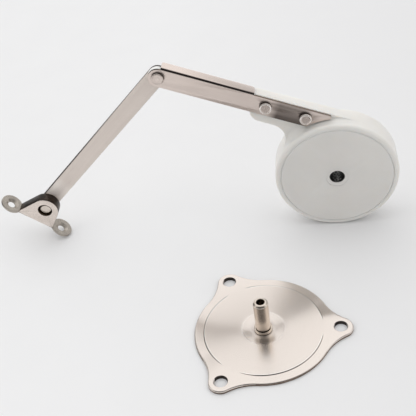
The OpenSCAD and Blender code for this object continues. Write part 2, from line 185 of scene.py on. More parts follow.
def skin(name, grid, loops=(True, False)):
    """Quads between the neighbours of a grid of points; loops says in which direction the grid
    closes on itself. Points that coincide at a pole are merged, and the faces turned outwards."""
    same_point, no_length = 1e-7, 1e-8
    count = np.arange(grid.shape[0] * grid.shape[1]).reshape(grid.shape[:2])
    beside, above = np.roll(count, -1, 0), np.roll(count, -1, 1)
    quads = np.stack([count, beside, np.roll(beside, -1, 1), above], -1)
    quads = quads[: None if loops[0] else -1, : None if loops[1] else -1]
    mesh = bpy.data.meshes.new(name)
    mesh.from_pydata(grid.reshape(-1, 3), [], quads.reshape(-1, 4).tolist())
    work = bmesh.new()
    work.from_mesh(mesh)
    bmesh.ops.remove_doubles(work, verts=work.verts, dist=same_point)
    bmesh.ops.dissolve_degenerate(work, edges=work.edges, dist=no_length)
    bmesh.ops.recalc_face_normals(work, faces=work.faces)
    work.to_mesh(mesh)
    work.free()
    mesh.shade_smooth()
    mesh.set_sharp_from_angle(angle=crease)
    return linked(name, mesh)


def tongue_cove():
    """A quarter of a hollow ellipse between the round wall and the tongue's front, carried round the
    damper's axis, with a width and a height that change with the turn; behind it the section closes
    inside the moulding, and both ends run out to a point."""
    wall, front, inside, behind, sunk = 33.5, 6.2, 0.3, 0.2, 0.1
    turn = np.radians(np.linspace(68, 146.5, 160))
    at = np.radians([68, 75, 82, 86, 115.5, 118, 121, 126, 133, 137, 142, 146.5])
    wide = np.interp(turn, at, [0.02, 0.2, 0.75, 1.0, 1.0, 1.6, 2.7, 3.3, 3.3, 2.4, 0.45, 0.02])
    high = np.interp(turn, at, [0.3, 1.6, 2.8, 3.0, 3.0, 3.1, 3.3, 3.4, 3.4, 3.0, 1.4, 0.3])
    curve = np.linspace(pi, pi / 2, 14)
    out = wall + wide[:, None] * (1 + np.cos(curve))
    deep = front - high[:, None] * (1 - np.sin(curve))
    out = np.concatenate([out, out[:, -1:], out[:, :1] - inside, out[:, :1] - inside], 1)
    deep = np.concatenate([deep, deep[:, -1:] + behind, deep[:, -1:] + behind, deep[:, :1]], 1)
    out[[0, -1]], deep[[0, -1]] = wall - sunk, front + sunk
    return np.stack([damper_x + out * mm * np.cos(turn)[:, None], damper_face + deep * mm,
                     damper_z + out * mm * np.sin(turn)[:, None]], -1)


cove = skin("tongue_cove", tongue_cove(), (False, True))
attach(cove, "damper")
cove.data.materials.append(moulding("cove_white", acetal_light, acetal_dark, rough=0.40, grain=0.25))


# Cover: the round face pressed into the front of the housing, in a warmer grey plastic.
# Its edge is broken, so a fine seam shows between it and the rim.
cover_grey = moulding("cover_grey", (0.81, 0.793, 0.76), (0.78, 0.761, 0.728),
                      rough=0.38, grain=0.25, glow=0.7)
cover = eased("cover_face", "cover", "damper", "cover_grey", 0.22 * mm)
cover.data.materials.append(cover_grey)


# Rotor: moulded with its two vanes and hollow journals, seen only as the ring round the bore.
# The bore is painted near black inside as shade; the journal's end has the tone of the cover.
to_back = (0.0, 1.0, 0.0)


def calc(tree, operation, *amounts):
    """The result of one sum on up to three amounts."""
    inputs = {"i%d" % k: amount for k, amount in enumerate(amounts)}
    return add(tree, "Math", {"operation": operation}, **inputs).outputs["Value"]


def vector(tree, operation, *places):
    """The result of one operation on vectors: a number for a length, a distance or a dot product."""
    inputs = {"i%d" % k: place for k, place in enumerate(places)}
    made = add(tree, "VectorMath", {"operation": operation}, **inputs)
    return made.outputs["Value" if operation in ("LENGTH", "DISTANCE", "DOT_PRODUCT") else "Vector"]


def about_axis(tree, place, middle, axis):
    """A place's offset from a middle, the share of it that is square to the axis, and the length of
    that share, which is the radius."""
    shift = vector(tree, "SUBTRACT", place, middle)
    flat = vector(tree, "MULTIPLY", shift, tuple(1.0 - a for a in axis))
    return shift, flat, vector(tree, "LENGTH", flat)


def rotor_finish():
    """The cover's grey outside the bore, and inside it a near-black wall of painted shade, set apart by
    the radius from an axis slightly above the true one."""
    bore, soft, above, rag = 4.1 * mm, 0.15 * mm, 0.2 * mm, 0.0002
    made, tree, shader = finish("rotor_black", Metallic=0.0, Roughness=0.42)
    place = add(tree, "TexCoord").outputs["Object"]
    radius = about_axis(tree, place, (damper_x, 0.0, damper_z + above), to_back)[2]
    wobble = calc(tree, "MULTIPLY_ADD", noise(tree, place, 900.0, 3.0), rag, radius)
    edge = span(tree, wobble, 0.0, 1.0, bore, bore + soft)
    # near black inside the bore: painted shade
    colour = tones(tree, edge, (0.0, (0.004, 0.004, 0.004)), (0.55, (0.02, 0.02, 0.02)),
                   (1.0, (0.77, 0.75, 0.72)))
    feed(tree, shader, Base_Color=colour)
    return made


def painted(cad_node, made):
    """Gives another finish to a solid that shows as it is."""
    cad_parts[cad_node].data.materials.clear()
    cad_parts[cad_node].data.materials.append(made)


painted("rotor", rotor_finish())


# Valve caps and sealing rings: small caps on the vanes and round rubber rings in their glands.
# They are inside the damper and show only when it is opened.
valve_natural = moulding("valve_natural", (0.56, 0.57, 0.55), (0.50, 0.51, 0.50), rough=0.45, grain=0.3)
ring_rubber = moulding("ring_rubber", (0.020, 0.020, 0.021), (0.012, 0.012, 0.013), rough=0.55, grain=0.5)
for inner, inner_finish in (("check_valve_a", valve_natural), ("check_valve_b", valve_natural),
                            ("front_ring", ring_rubber), ("back_ring", ring_rubber)):
    painted(inner, inner_finish)


# Main arm: a strip of nickel plated steel, 10 by 1.2 mm, with one edge bent to the back as a flange.
# It is blanked from rolled strip, so a faint grain runs along it, and the edges are broken.
elbow_x, elbow_z = centre("elbow_spacer").x, centre("elbow_spacer").z
arm_slope = radians(22.4)
strip_half, strip_ease = 5.0 * mm, 0.16 * mm


def blend(tree, share, under, over):
    """A colour laid over another by a share."""
    return add(tree, "Mix", {"data_type": "RGBA"}, i0=share, i6=under, i7=(*over, 1)).outputs[2]


def border(tree, amount, low, high, place):
    """Changes from low to high over a quarter of a millimetre at a place."""
    return span(tree, amount, low, high, place - 0.15 * mm, place + 0.1 * mm)


def rolled_nickel(name, slope, light, dark, rough, metal, rim, painted_stretch, bend=None):
    """Nickel plate on rolled strip that starts at the elbow: streaks stretched along the strip in tint
    and roughness, slow clouds from the plating bath, and the streaks again as a shallow bump. The
    painted stretch is a start, an end, a colour and a share: that length of the strip is painted
    another tone, painted shade where it is darker and painted light where it is lighter, stronger
    towards the lower edge. The rim is a height, a half width and the two places between which a
    painted dark line along an edge begins, a painted reflection. Above the height of a bend the
    stretched skin is smoother."""
    grain_long, grain_wide = 0.03, 0.0004
    made, tree, shader = finish(name, Metallic=metal, Anisotropic=0.15)
    place = add(tree, "TexCoord").outputs["Object"]
    grain = add(tree, "Mapping", {"vector_type": "TEXTURE"}, Vector=place, Location=(elbow_x, 0, elbow_z),
                Rotation=(0.0, slope, 0.0), Scale=(grain_long, grain_wide, grain_wide)).outputs["Vector"]
    streak = noise(tree, grain, 1.0, 5.0, 0.6)
    cloud = noise(tree, place, 60.0, 3.0)
    both = calc(tree, "MULTIPLY_ADD", streak, 0.6, calc(tree, "MULTIPLY", cloud, 0.4))
    colour = tones(tree, both, (0.36, dark), (0.64, light))
    gloss = span(tree, both, rough + 0.03, rough - 0.02, 0.36, 0.64)
    strip = add(tree, "SeparateXYZ", Vector=grain)
    along = calc(tree, "MULTIPLY", strip.outputs["X"], grain_long)
    above = calc(tree, "MULTIPLY", strip.outputs["Z"], grain_wide)
    if bend:
        polish = span(tree, above, 1.0, 0.3, bend - 0.3 * mm, bend + 0.2 * mm)
        gloss = calc(tree, "MULTIPLY", gloss, polish)
    # a length of the strip painted another tone: painted shade where darker, painted light where lighter
    start, end, tone, share = painted_stretch
    begin = span(tree, along, 0.0, share, start, start + 5 * mm)
    stop = span(tree, along, 1.0, 0.0, end - 2 * mm, end + 3 * mm)
    low = span(tree, above, 1.0, 0.55, -5 * mm, 4 * mm)
    here = calc(tree, "MULTIPLY", calc(tree, "MULTIPLY", begin, stop), low)
    colour = blend(tree, here, colour, tone)
    # a painted dark line along an edge, a painted reflection
    height, half, start, full = rim
    off = calc(tree, "ABSOLUTE", calc(tree, "SUBTRACT", above, height))
    begin = span(tree, along, 0.0, 0.95, start, full)
    here = calc(tree, "MULTIPLY", border(tree, off, 1.0, 0.0, half), begin)
    colour = blend(tree, here, colour, (0.03, 0.025, 0.022))
    across = add(tree, "VectorTransform",
                 {"vector_type": "VECTOR", "convert_from": "OBJECT", "convert_to": "WORLD"},
                 Vector=(sin(slope), 0.0, cos(slope))).outputs["Vector"]
    feed(tree, shader, Base_Color=colour, Roughness=gloss, Tangent=across,
         Normal=relief(tree, 0.05, 0.00002, streak))
    return made


def edge_shade_nickel(name, dark, light):
    """A matt finish darker than plated faces, with short marks across it, as on a cut edge; its tones
    are painted shade and painted reflection on edges, walls and hollows.
    """
    made, tree, shader = finish(name, Metallic=0.0, Specular_IOR_Level=0.1)
    place = add(tree, "TexCoord").outputs["Object"]
    cut = noise(tree, place, 1700.0, 3.0, 0.6)
    feed(tree, shader, Base_Color=tones(tree, cut, (0.3, dark), (0.7, light)),
         Roughness=span(tree, cut, 0.34, 0.48, 0.3, 0.7), Normal=relief(tree, 0.2, 0.00005, cut))
    return made


def mark_edges(piece, edge, is_edge):
    """Gives some faces of a piece a finish of their own: those for which the test on centres and
    normals holds."""
    piece.data.materials.append(edge)
    count = len(piece.data.polygons)
    middle, normal = np.empty(count * 3, np.float32), np.empty(count * 3, np.float32)
    which = np.empty(count, np.int32)
    piece.data.polygons.foreach_get("center", middle)
    piece.data.polygons.foreach_get("normal", normal)
    piece.data.polygons.foreach_get("material_index", which)
    which[is_edge(middle.reshape(-1, 3), normal.reshape(-1, 3))] = len(piece.data.materials) - 1
    piece.data.polygons.foreach_set("material_index", which)


def above_arm(points):
    """How far points lie above the arm's centre line, square to it."""
    return (points[:, 0] - elbow_x) * sin(arm_slope) + (points[:, 2] - elbow_z) * cos(arm_slope)


def cut_side(at, n):
    """The blanked sides of the arm, below its top edge."""
    return (np.abs(n[:, 1]) < 0.5) & (above_arm(at) < strip_half - 0.02 * mm)


def cut_top(at, n):
    """The blanked top edge of the arm beyond its flange."""
    return (np.abs(n[:, 1]) < 0.5) & (np.abs(above_arm(at) - strip_half) < 0.02 * mm)


# near black: painted shade and painted dark reflection on cut edges, walls and hollows; brown: a painted
# reflection along the arm's top edge
painted_edge_shade = edge_shade_nickel("edge_shade_nickel", (0.02, 0.016, 0.014), (0.06, 0.048, 0.041))
painted_edge_brown = edge_shade_nickel("edge_brown_nickel", (0.17, 0.13, 0.105), (0.25, 0.195, 0.16))
# The arm is painted darker between its rivets, a painted dark reflection, and a painted dark line runs
# along its bend, also a painted reflection.
nickel_arm = rolled_nickel("nickel_arm", arm_slope, (0.75, 0.655, 0.60), (0.72, 0.625, 0.57),
                           rough=0.33, metal=0.92, rim=(5.75 * mm, 0.55 * mm, -8 * mm, -7 * mm),
                           painted_stretch=(60 * mm, 80 * mm, (0.045, 0.034, 0.028), 0.92), bend=5.3 * mm)
arm = eased("arm_strip", "main_arm", "damper", "nickel_arm", strip_ease, 2)
arm.data.materials.append(nickel_arm)
# the arm's cut sides are painted near black and its top edge beyond the flange brown
mark_edges(arm, painted_edge_shade, cut_side)
mark_edges(arm, painted_edge_brown, cut_top)


# Arm rivets: two steel rivets with flat button heads, closed over washers in the tongue's back.
# The heads are pressed smooth and nickel plated; a faint ring is left by the tool. The rim outside
# it carries a painted highlight, and the wall of each head is painted near black as shade.
def rounded(corners, steps=5):
    """A profile of radius and depth from corner points; a corner with a third number is replaced by
    an arc-like curve of that size: a quadratic between the points that far along its two sides,
    with one more point just before and after it, which keeps the flats flat."""
    beyond = 0.12
    points = np.array([c[:2] for c in corners], float)
    share = np.linspace(0, 1, steps)[:, None]
    out = []
    for k, corner in enumerate(corners):
        if len(corner) == 2:
            out.append(points[k:k + 1])
            continue
        before, after = points[k - 1] - points[k], points[(k + 1) % len(points)] - points[k]
        a = points[k] + before / np.linalg.norm(before) * corner[2]
        b = points[k] + after / np.linalg.norm(after) * corner[2]
        curve = (1 - share) ** 2 * a + 2 * share * (1 - share) * points[k] + share ** 2 * b
        out += [a[None] + (a - points[k]) * beyond, curve, b[None] + (b - points[k]) * beyond]
    return np.concatenate(out)


def closed(profile):
    """A profile that ends where it begins."""
    return np.concatenate([profile, profile[:1]])


def lathe_y(name, profile, x, z, around=96):
    """A profile of radius and depth, in mm, carried round an axis that runs back from the level of
    the damper's face at (x, z)."""
    turn = np.linspace(0, 2 * pi, around, endpoint=False)[:, None]
    radius, depth = profile[:, 0] * mm, profile[:, 1] * mm
    return skin(name, np.stack([x + np.cos(turn) * radius, damper_face + depth + 0 * turn,
                                z + np.sin(turn) * radius], -1))


def turned_nickel(name, middle, axis, light, dark, rough, ring=None, grease=None):
    """Nickel on a turned or pressed round: rings about the axis in tint and roughness, from noise
    read along the radius and the height, with a little drift round the piece. Outside the radius
    of a ring the skin has a painted highlight, and a painted shadow lies outside a circle set off
    from the axis."""
    made, tree, shader = finish(name, Metallic=1.0)
    place = add(tree, "TexCoord").outputs["Object"]
    shift, flat, radius = about_axis(tree, place, middle, axis)
    height = vector(tree, "DOT_PRODUCT", shift, axis)
    rings = add(tree, "CombineXYZ", X=radius, Y=height).outputs["Vector"]
    both = calc(tree, "ADD", noise(tree, rings, 2400.0, 4.0, 0.65), noise(tree, place, 420.0, 3.0))
    colour = tones(tree, span(tree, both, 0.0, 1.0, 0.7, 1.3), (0.0, dark), (1.0, light))
    # outside the ring: a painted highlight on the head's rim
    if ring:
        colour = blend(tree, border(tree, radius, 0.0, 1.0, ring), colour, (0.93, 0.88, 0.83))
    # outside the circle: a painted shadow, cast by the rim of the recess round the head
    if grease:
        aside, reach = grease
        held = border(tree, vector(tree, "DISTANCE", flat, aside), 0.0, 0.93, reach)
        colour = blend(tree, held, colour, (0.035, 0.027, 0.02))
    feed(tree, shader, Base_Color=colour, Normal=relief(tree, 0.1, 0.00002, both),
         Roughness=span(tree, both, rough + 0.05, rough - 0.04, 0.7, 1.3))
    return made


def rivet_nickel(label, x, z, light, dark, rough, **marks):
    """The finish of a steel rivet on an axis at (x, z)."""
    return turned_nickel("rivet_steel_" + label, (x, damper_face, z), to_back, light, dark, rough, **marks)


def washer_nickel(label, x, z):
    """The finish of a plain steel washer on an axis at (x, z)."""
    return turned_nickel("washer_steel_" + label, (x, damper_face, z), to_back,
                         (0.62, 0.61, 0.60), (0.52, 0.51, 0.50), rough=0.34)


def on_arm(along):
    """X and Z of a point on the arm's centre line."""
    return elbow_x + along * mm * cos(arm_slope), elbow_z - along * mm * sin(arm_slope)


def behind_face(at):
    """How far points lie behind the level of the damper's face, in mm."""
    return (at[:, 1] - damper_face) / mm


def head_side(at, n):
    """The upright wall of a rivet's head, which is painted near black as shade."""
    return (np.abs(n[:, 1]) < 0.35) & (behind_face(at) > 3.95) & (behind_face(at) < 5.05)


button = rounded([(0, 3.1), (2.25, 3.08, 0.2), (2.6, 2.95, 0.15), (3.2, 3.12, 0.35), (3.2, 4.1), (3.2, 5.0),
                  (2.0, 5.0), (2.0, 11.0), (2.8, 11.0, 0.2), (2.8, 12.0, 0.45), (0, 12.0)])
plain_washer = closed(rounded([(2.02, 10.2), (4.0, 10.2, 0.12), (4.0, 11.0, 0.12), (2.02, 11.0)]))
for label, along in (("outer", 57.997), ("inner", 79.997)):
    x, z = on_arm(along)
    rivet = lathe_y("rivet_" + label, button, x, z)
    dressed(rivet, "damper", "rivet_steel", "arm_rivet_" + label)
    # the head's rim outside 2.55 mm gets a painted highlight
    rivet.data.materials.append(rivet_nickel(label, x, z, (0.68, 0.60, 0.55), (0.58, 0.505, 0.46),
                                             rough=0.26, ring=2.55 * mm))
    # the wall of the head is painted near black as shade
    mark_edges(rivet, painted_edge_shade, head_side)
    washer = lathe_y("washer_" + label, plain_washer, x, z)
    dressed(washer, "damper", "washer_steel", "rivet_washer_" + label)
    washer.data.materials.append(washer_nickel(label, x, z))


# Elbow: a pivot rivet joins arm and link, with a white nylon disc between the two strips
# and a thin steel washer behind the link, so that the link turns without scraping.
pivot = rounded([(0, 3.6), (2.3, 3.58, 0.2), (2.65, 3.45, 0.15), (3.3, 3.62, 0.35), (3.3, 5.0), (2.5, 5.0),
                 (2.5, 10.6), (3.4, 10.6, 0.25), (3.4, 11.7, 0.5), (0, 11.7)])
elbow_rivet = lathe_y("elbow_pivot", pivot, elbow_x, elbow_z)
dressed(elbow_rivet, "damper", "rivet_steel", "elbow_rivet")
elbow_rivet.data.materials.append(rivet_nickel("elbow", elbow_x, elbow_z, (0.74, 0.65, 0.595),
                                               (0.66, 0.575, 0.525), rough=0.28))
# the wall of the head is painted near black as shade
mark_edges(elbow_rivet, painted_edge_shade, head_side)

nylon_white = moulding("nylon_white", (0.86, 0.86, 0.84), (0.82, 0.82, 0.80), rough=0.38, grain=0.2)
disc = rounded([(2.52, 6.2), (5.0, 6.2, 0.25), (5.0, 8.7, 0.25), (2.52, 8.7)])
spacer = lathe_y("elbow_disc", closed(disc), elbow_x, elbow_z)
dressed(spacer, "damper", "nylon_white", "elbow_spacer")
spacer.data.materials.append(nylon_white)

disc = rounded([(2.52, 10.0), (4.2, 10.0, 0.12), (4.2, 10.6, 0.12), (2.52, 10.6)])
back_washer = lathe_y("elbow_back_washer", closed(disc), elbow_x, elbow_z)
dressed(back_washer, "damper", "washer_steel", "elbow_washer")
back_washer.data.materials.append(washer_nickel("elbow", elbow_x, elbow_z))


# Link: a plain flat strip of the same plated steel with round ends, punched for its two pivots.
# It runs behind the arm at the elbow and behind the bracket at its foot.
bracket_x, bracket_z = centre("bracket_washer").x, centre("bracket_washer").z
link_slope = atan2(elbow_z - bracket_z, bracket_x - elbow_x)
# The link is painted lighter near the bracket, painted light over the shade and dark reflection the bracket
# casts on it, and a painted dark line runs along its upper edge, a painted reflection.
nickel_link = rolled_nickel("nickel_link", link_slope, (0.80, 0.715, 0.655), (0.77, 0.685, 0.625),
                            rough=0.5, metal=0.2, rim=(-4.9 * mm, 0.4 * mm, 20 * mm, 70 * mm),
                            painted_stretch=(91 * mm, 118 * mm, (1.0, 0.93, 0.87), 0.72))
link = eased("link_strip", "link", "link", "nickel_arm", strip_ease, 2)
link.data.materials.append(nickel_link)
# the link's cut edges are painted near black, painted shade and dark reflection
mark_edges(link, painted_edge_shade, lambda at, n: np.abs(n[:, 1]) < 0.5)


# Bracket: a zinc die casting, nickel plated, screwed to the flap through two countersunk ears.
# A round recess takes the head of its pivot rivet; all corners are rounded by the die.
bracket_lean = radians(38.6)
bracket_base, recess = 10.1, 4.1


def cast_nickel(name, light, dark, rough):
    """Nickel on a zinc casting: soft uneven tint, a slightly wavy skin and tiny pits."""
    made, tree, shader = finish(name, Metallic=1.0)
    place = add(tree, "TexCoord").outputs["Object"]
    wave = noise(tree, place, 260.0, 3.0)
    pits = noise(tree, place, 2200.0, 2.0, 0.6)
    swell = relief(tree, 0.12, 0.0003, wave)
    bump = add(tree, "Bump", Strength=0.1, Distance=0.00003, Height=pits, Normal=swell)
    feed(tree, shader, Base_Color=tones(tree, wave, (0.34, dark), (0.66, light)),
         Roughness=span(tree, pits, rough - 0.04, rough + 0.07, 0.35, 0.65), Normal=bump.outputs["Normal"])
    return made


def joined(name, parts):
    """Several closed meshes as one piece."""
    work = bmesh.new()
    for part in parts:
        work.from_mesh(part.data)
        bpy.data.objects.remove(part)
    mesh = bpy.data.meshes.new(name)
    work.to_mesh(mesh)
    work.free()
    return linked(name, mesh)


def bracket_outline():
    """The block seen from the front, about its pivot: up the right toe, along the flank that touches
    the round top, round the top by its radius, down the left flank and back along the base."""
    top, half, off, toe, corner = 7.7, 11.05, 1.7, 1.2, 0.5
    shoulder = toe - bracket_base
    ends, lean = [half - off, half + off], []
    for reach in ends:
        lean.append(np.arctan2(shoulder, reach) + np.arccos(top / np.hypot(reach, shoulder)))
    arc = np.linspace(lean[0], pi - lean[1], 60)
    crown = [tuple(point) for point in top * np.stack([np.cos(arc), np.sin(arc)], -1)]
    path = closed(rounded([(ends[0], -bracket_base, corner), (ends[0], shoulder, corner), *crown,
                           (-ends[1], shoulder, corner), (-ends[1], -bracket_base, corner)]))
    far = np.concatenate([[0], np.cumsum(np.hypot(*np.diff(path, axis=0).T))])
    step = np.unique(np.concatenate([far[:-1], np.linspace(0, far[-1], 240, endpoint=False)]).round(6))
    return np.stack([np.interp(step, far, path[:, k]) for k in (0, 1)], -1)


def on_bracket(x, y, z):
    """Points given along the bracket's base, in depth and square to the base, put in their place."""
    return np.stack([bracket_x + x * cos(bracket_lean) + z * sin(bracket_lean), y,
                     bracket_z - x * sin(bracket_lean) + z * cos(bracket_lean)], -1)


def bracket_block():
    """The outline carried back by the depth: from the middle of the recess up its wall, over the face to
    a rounded edge, along the side, over the back edge and to the middle of the back."""
    soft, flat_rim, front, depth, deep = 0.3, 0.2, 1.8, 6.5, 3.0
    rim = bracket_outline()
    before, after = rim - np.roll(rim, 1, 0), np.roll(rim, -1, 0) - rim
    unit = before / np.linalg.norm(before, axis=1)[:, None] + after / np.linalg.norm(after, axis=1)[:, None]
    unit /= np.linalg.norm(unit, axis=1)[:, None]
    inward = np.stack([-unit[:, 1], unit[:, 0]], -1)
    ray = rim / np.linalg.norm(rim, axis=1)[:, None]
    arc = np.linspace(0, pi / 2, 5)
    hollow = ((0.0, deep), (3.8, deep), (4.04, 2.94), (recess, 2.7), (recess, 0.6), (recess, 0.2),
              (4.16, 0.06), (4.3, 0.0), (4.5, 0.0))
    rows = [(ray * r, y) for r, y in hollow]
    rows.append((rim + inward * (soft + flat_rim), 0.0))
    rows += [(rim + inward * soft * (1 - sin(t)), soft * (1 - cos(t))) for t in arc]
    rows += [(rim + inward * soft * (1 - cos(t)), depth - soft * (1 - sin(t))) for t in arc]
    rows += [(rim + inward * (soft + flat_rim), depth), (ray * 0.0, depth)]
    flat = np.stack([row[0] for row in rows], 1) * mm
    back = damper_face + (front + np.array([row[1] for row in rows])) * mm
    return skin("block", on_bracket(flat[..., 0], back[None, :] + 0 * flat[..., 0], flat[..., 1]))


def bracket_ear(along, middle=5.05, around=96):
    """A round ear: a section of radius and height, with its countersunk hole, carried round its own
    axis, which stands along the base and a way behind the damper's face."""
    turn = np.linspace(0, 2 * pi, around, endpoint=False)[:, None]
    ring = rounded([(2.1, 0.02), (2.1, 0.4, 0.1), (3.7, 1.6, 0.15), (6.25, 1.6, 0.3), (6.25, 0.02, 0.3)])
    ring = closed(ring) * mm
    x = along * mm + np.cos(turn) * ring[:, 0]
    y = damper_face + middle * mm + np.sin(turn) * ring[:, 0]
    return skin("ear", on_bracket(x, y, -bracket_base * mm + ring[:, 1] + 0 * turn))


def bracket_radius(at):
    """How far points lie from the bracket's pivot, seen from the front, in mm."""
    return np.hypot(at[:, 0] - bracket_x, at[:, 2] - bracket_z) / mm


def above_pivot(at):
    """How far points lie above the bracket's pivot, square to its base, in mm."""
    return ((at[:, 0] - bracket_x) * sin(bracket_lean) + (at[:, 2] - bracket_z) * cos(bracket_lean)) / mm


def flank(at, n):
    """The sides of the block above the ears."""
    return (np.abs(n[:, 1]) < 0.6) & (bracket_radius(at) > 4.4) & (above_pivot(at) > -8.4)


def ear(at, n):
    """The ears, without the block's foot between them."""
    return (above_pivot(at) < -8.4) & (bracket_radius(at) > 12.0)


def recess_wall(at, n):
    """The wall of the recess, but for its mouth and its foot."""
    return (bracket_radius(at) < recess + 0.05) & (behind_face(at) > 2.4) & (behind_face(at) < 4.6)


def recess_ends(at, n):
    """The mouth and the foot of the recess, and its floor."""
    deep = behind_face(at)
    return (bracket_radius(at) < recess + 0.1) & (deep > 1.85) & (deep < 5) & ((deep < 2.4) | (deep > 4.6))


bracket = joined("bracket_casting", [bracket_block(), bracket_ear(-17.7), bracket_ear(14.3)])
dressed(bracket, "bracket", "bracket_nickel", "bracket")
bracket.data.materials.append(cast_nickel("bracket_nickel", (0.82, 0.735, 0.675), (0.74, 0.66, 0.60), 0.27))
# The flanks are painted near black, a painted dark reflection; the ears are painted darker, as shade; the
# recess wall has a warm painted glint over shade.
for label, light, dark, rough, faces in (
        ("flank_painted_dark", (0.075, 0.057, 0.047), (0.03, 0.024, 0.02), 0.3, flank),
        ("ear_painted_shade", (0.52, 0.475, 0.42), (0.42, 0.38, 0.335), 0.3, ear),
        ("recess_painted_glint", (0.46, 0.37, 0.26), (0.32, 0.245, 0.16), 0.28, recess_wall)):
    mark_edges(bracket, cast_nickel(label, light, dark, rough), faces)
# the mouth, foot and floor of the recess are painted near black as shade
mark_edges(bracket, painted_edge_shade, recess_ends)


# Bracket pivot: a rivet whose flat head lies deep in the recess, and a thin nylon washer
# between the casting and the link.
head = rounded([(0, 3.42), (2.6, 3.45), (3.35, 3.5, 0.35), (3.35, 4.8), (2.5, 4.8), (2.5, 10.0),
                (3.4, 10.0, 0.25), (3.4, 11.1, 0.5), (0, 11.1)])
foot_rivet = lathe_y("bracket_pivot_rivet", head, bracket_x, bracket_z)
dressed(foot_rivet, "bracket", "rivet_steel", "bracket_rivet")
# a painted shadow darkens the top of the head, where the rim of the recess shades it
foot_rivet.data.materials.append(rivet_nickel("bracket", bracket_x, bracket_z, (0.80, 0.725, 0.65),
                                              (0.74, 0.665, 0.59), rough=0.34,
                                              grease=((0.0, 0.0, -0.95 * mm), 3.1 * mm)))
painted("bracket_washer", nylon_white)


# Mounting plate: pressed from 2 mm steel with three screw ears, a stepped-down band between each
# two ears and a dish round the post, then brushed round its centre and bright nickel plated.
plate_x, plate_y = centre("pivot_post").x, centre("pivot_post").y
plate_turn = radians(-1.3)
hole_circle, plate_edge = 38.5, 35.0
hole_turn = np.radians([0, 120, 240]) + plate_turn
hole_x = plate_x + hole_circle * mm * np.cos(hole_turn)
hole_y = plate_y + hole_circle * mm * np.sin(hole_turn)
upright = (0.0, 0.0, 1.0)


def ease(share):
    """0 before 0, 1 after 1, and a smooth S between."""
    share = np.clip(share, 0, 1)
    return share * share * (3 - 2 * share)


def plate_outline(turn):
    """Distance of the edge from the centre: round the ear's end near the ear's axis, along the
    hollow flank beyond it, and the plain circle further out."""
    ear_round, ear_ends = 6.2, radians(7.49)
    flank_far, flank_round, flank_ends = 60, 25, radians(27.19)
    off = np.abs((turn + pi / 3) % (2 * pi / 3) - pi / 3)
    aside = hole_circle * np.sin(off)
    ear_end = hole_circle * np.cos(off) + np.sqrt(np.maximum(ear_round ** 2 - aside ** 2, 0))
    aside = flank_far * np.sin(off - flank_ends)
    hollow = flank_far * np.cos(off - flank_ends) - np.sqrt(np.maximum(flank_round ** 2 - aside ** 2, 0))
    return np.where(off < ear_ends, ear_end, np.where(off < flank_ends, hollow, plate_edge))


def plate_grid(around=720):
    """Round the centre by the turn, and along a closed section: the top from the bore outwards with
    its dish and step, over the rounded edge, back along the underside and up the bore."""
    thick, bore, outer, soft, under_soft = 2.0, 3.02, 31.2, 0.8, 0.3
    dish_deep, dish_starts, dish_wide = 0.9, 5.9, 5.6
    step_deep, step_starts, step_wide, band_slope = 0.36, 29.75, 0.5, 0.02
    turn = np.linspace(0, 2 * pi, around, endpoint=False)[:, None]
    edge = plate_outline(turn)
    fixed = np.concatenate([[bore, 4.2, 5.5], np.linspace(6.2, 12.4, 19),
                            [13.6, 15, 18, 21.5, 25, 27.5, 29], np.linspace(29.5, 30.5, 11), [outer]])
    share = np.array([0.15, 0.35, 0.55, 0.75, 0.9])
    arc = np.linspace(0, pi / 2, 6)
    top = np.concatenate([np.repeat(fixed[None], around, 0), outer + share * (edge - soft - outer),
                          edge - soft + soft * np.sin(arc)], 1)
    from_middle = np.abs(turn % (2 * pi / 3) - pi / 3)
    fade = ease((radians(53) - from_middle) / radians(24))
    band = fade * (step_deep + band_slope * np.maximum(top - 30, 0)) * ease((top - step_starts) / step_wide)
    dish = dish_deep * (1 - ease((top - dish_starts) / dish_wide))
    height = thick - dish - band
    height[:, -6:] -= soft * (1 - np.cos(arc))
    under = np.concatenate([edge - under_soft * (1 - np.cos(arc[::-1])), edge - 2.5,
                            np.full((around, 1), 12.0), np.full((around, 1), bore)], 1)
    low = under_soft * (1 - np.sin(arc[::-1]))
    low = np.concatenate([np.repeat(low[None], around, 0), np.zeros((around, 3))], 1)
    radius, z = np.concatenate([top, under], 1) * mm, np.concatenate([height, low], 1) * mm
    turned = turn + plate_turn
    return np.stack([plate_x + radius * np.cos(turned), plate_y + radius * np.sin(turned), z], -1)


def lathe_z(name, profile, x, y, around):
    """A profile of radius and height, in mm, carried round an upright axis at (x, y)."""
    turn = np.linspace(0, 2 * pi, around, endpoint=False)[:, None]
    radius, height = profile[:, 0] * mm, profile[:, 1] * mm
    return skin(name, np.stack([x + np.cos(turn) * radius, y + np.sin(turn) * radius,
                                height + 0 * turn], -1))


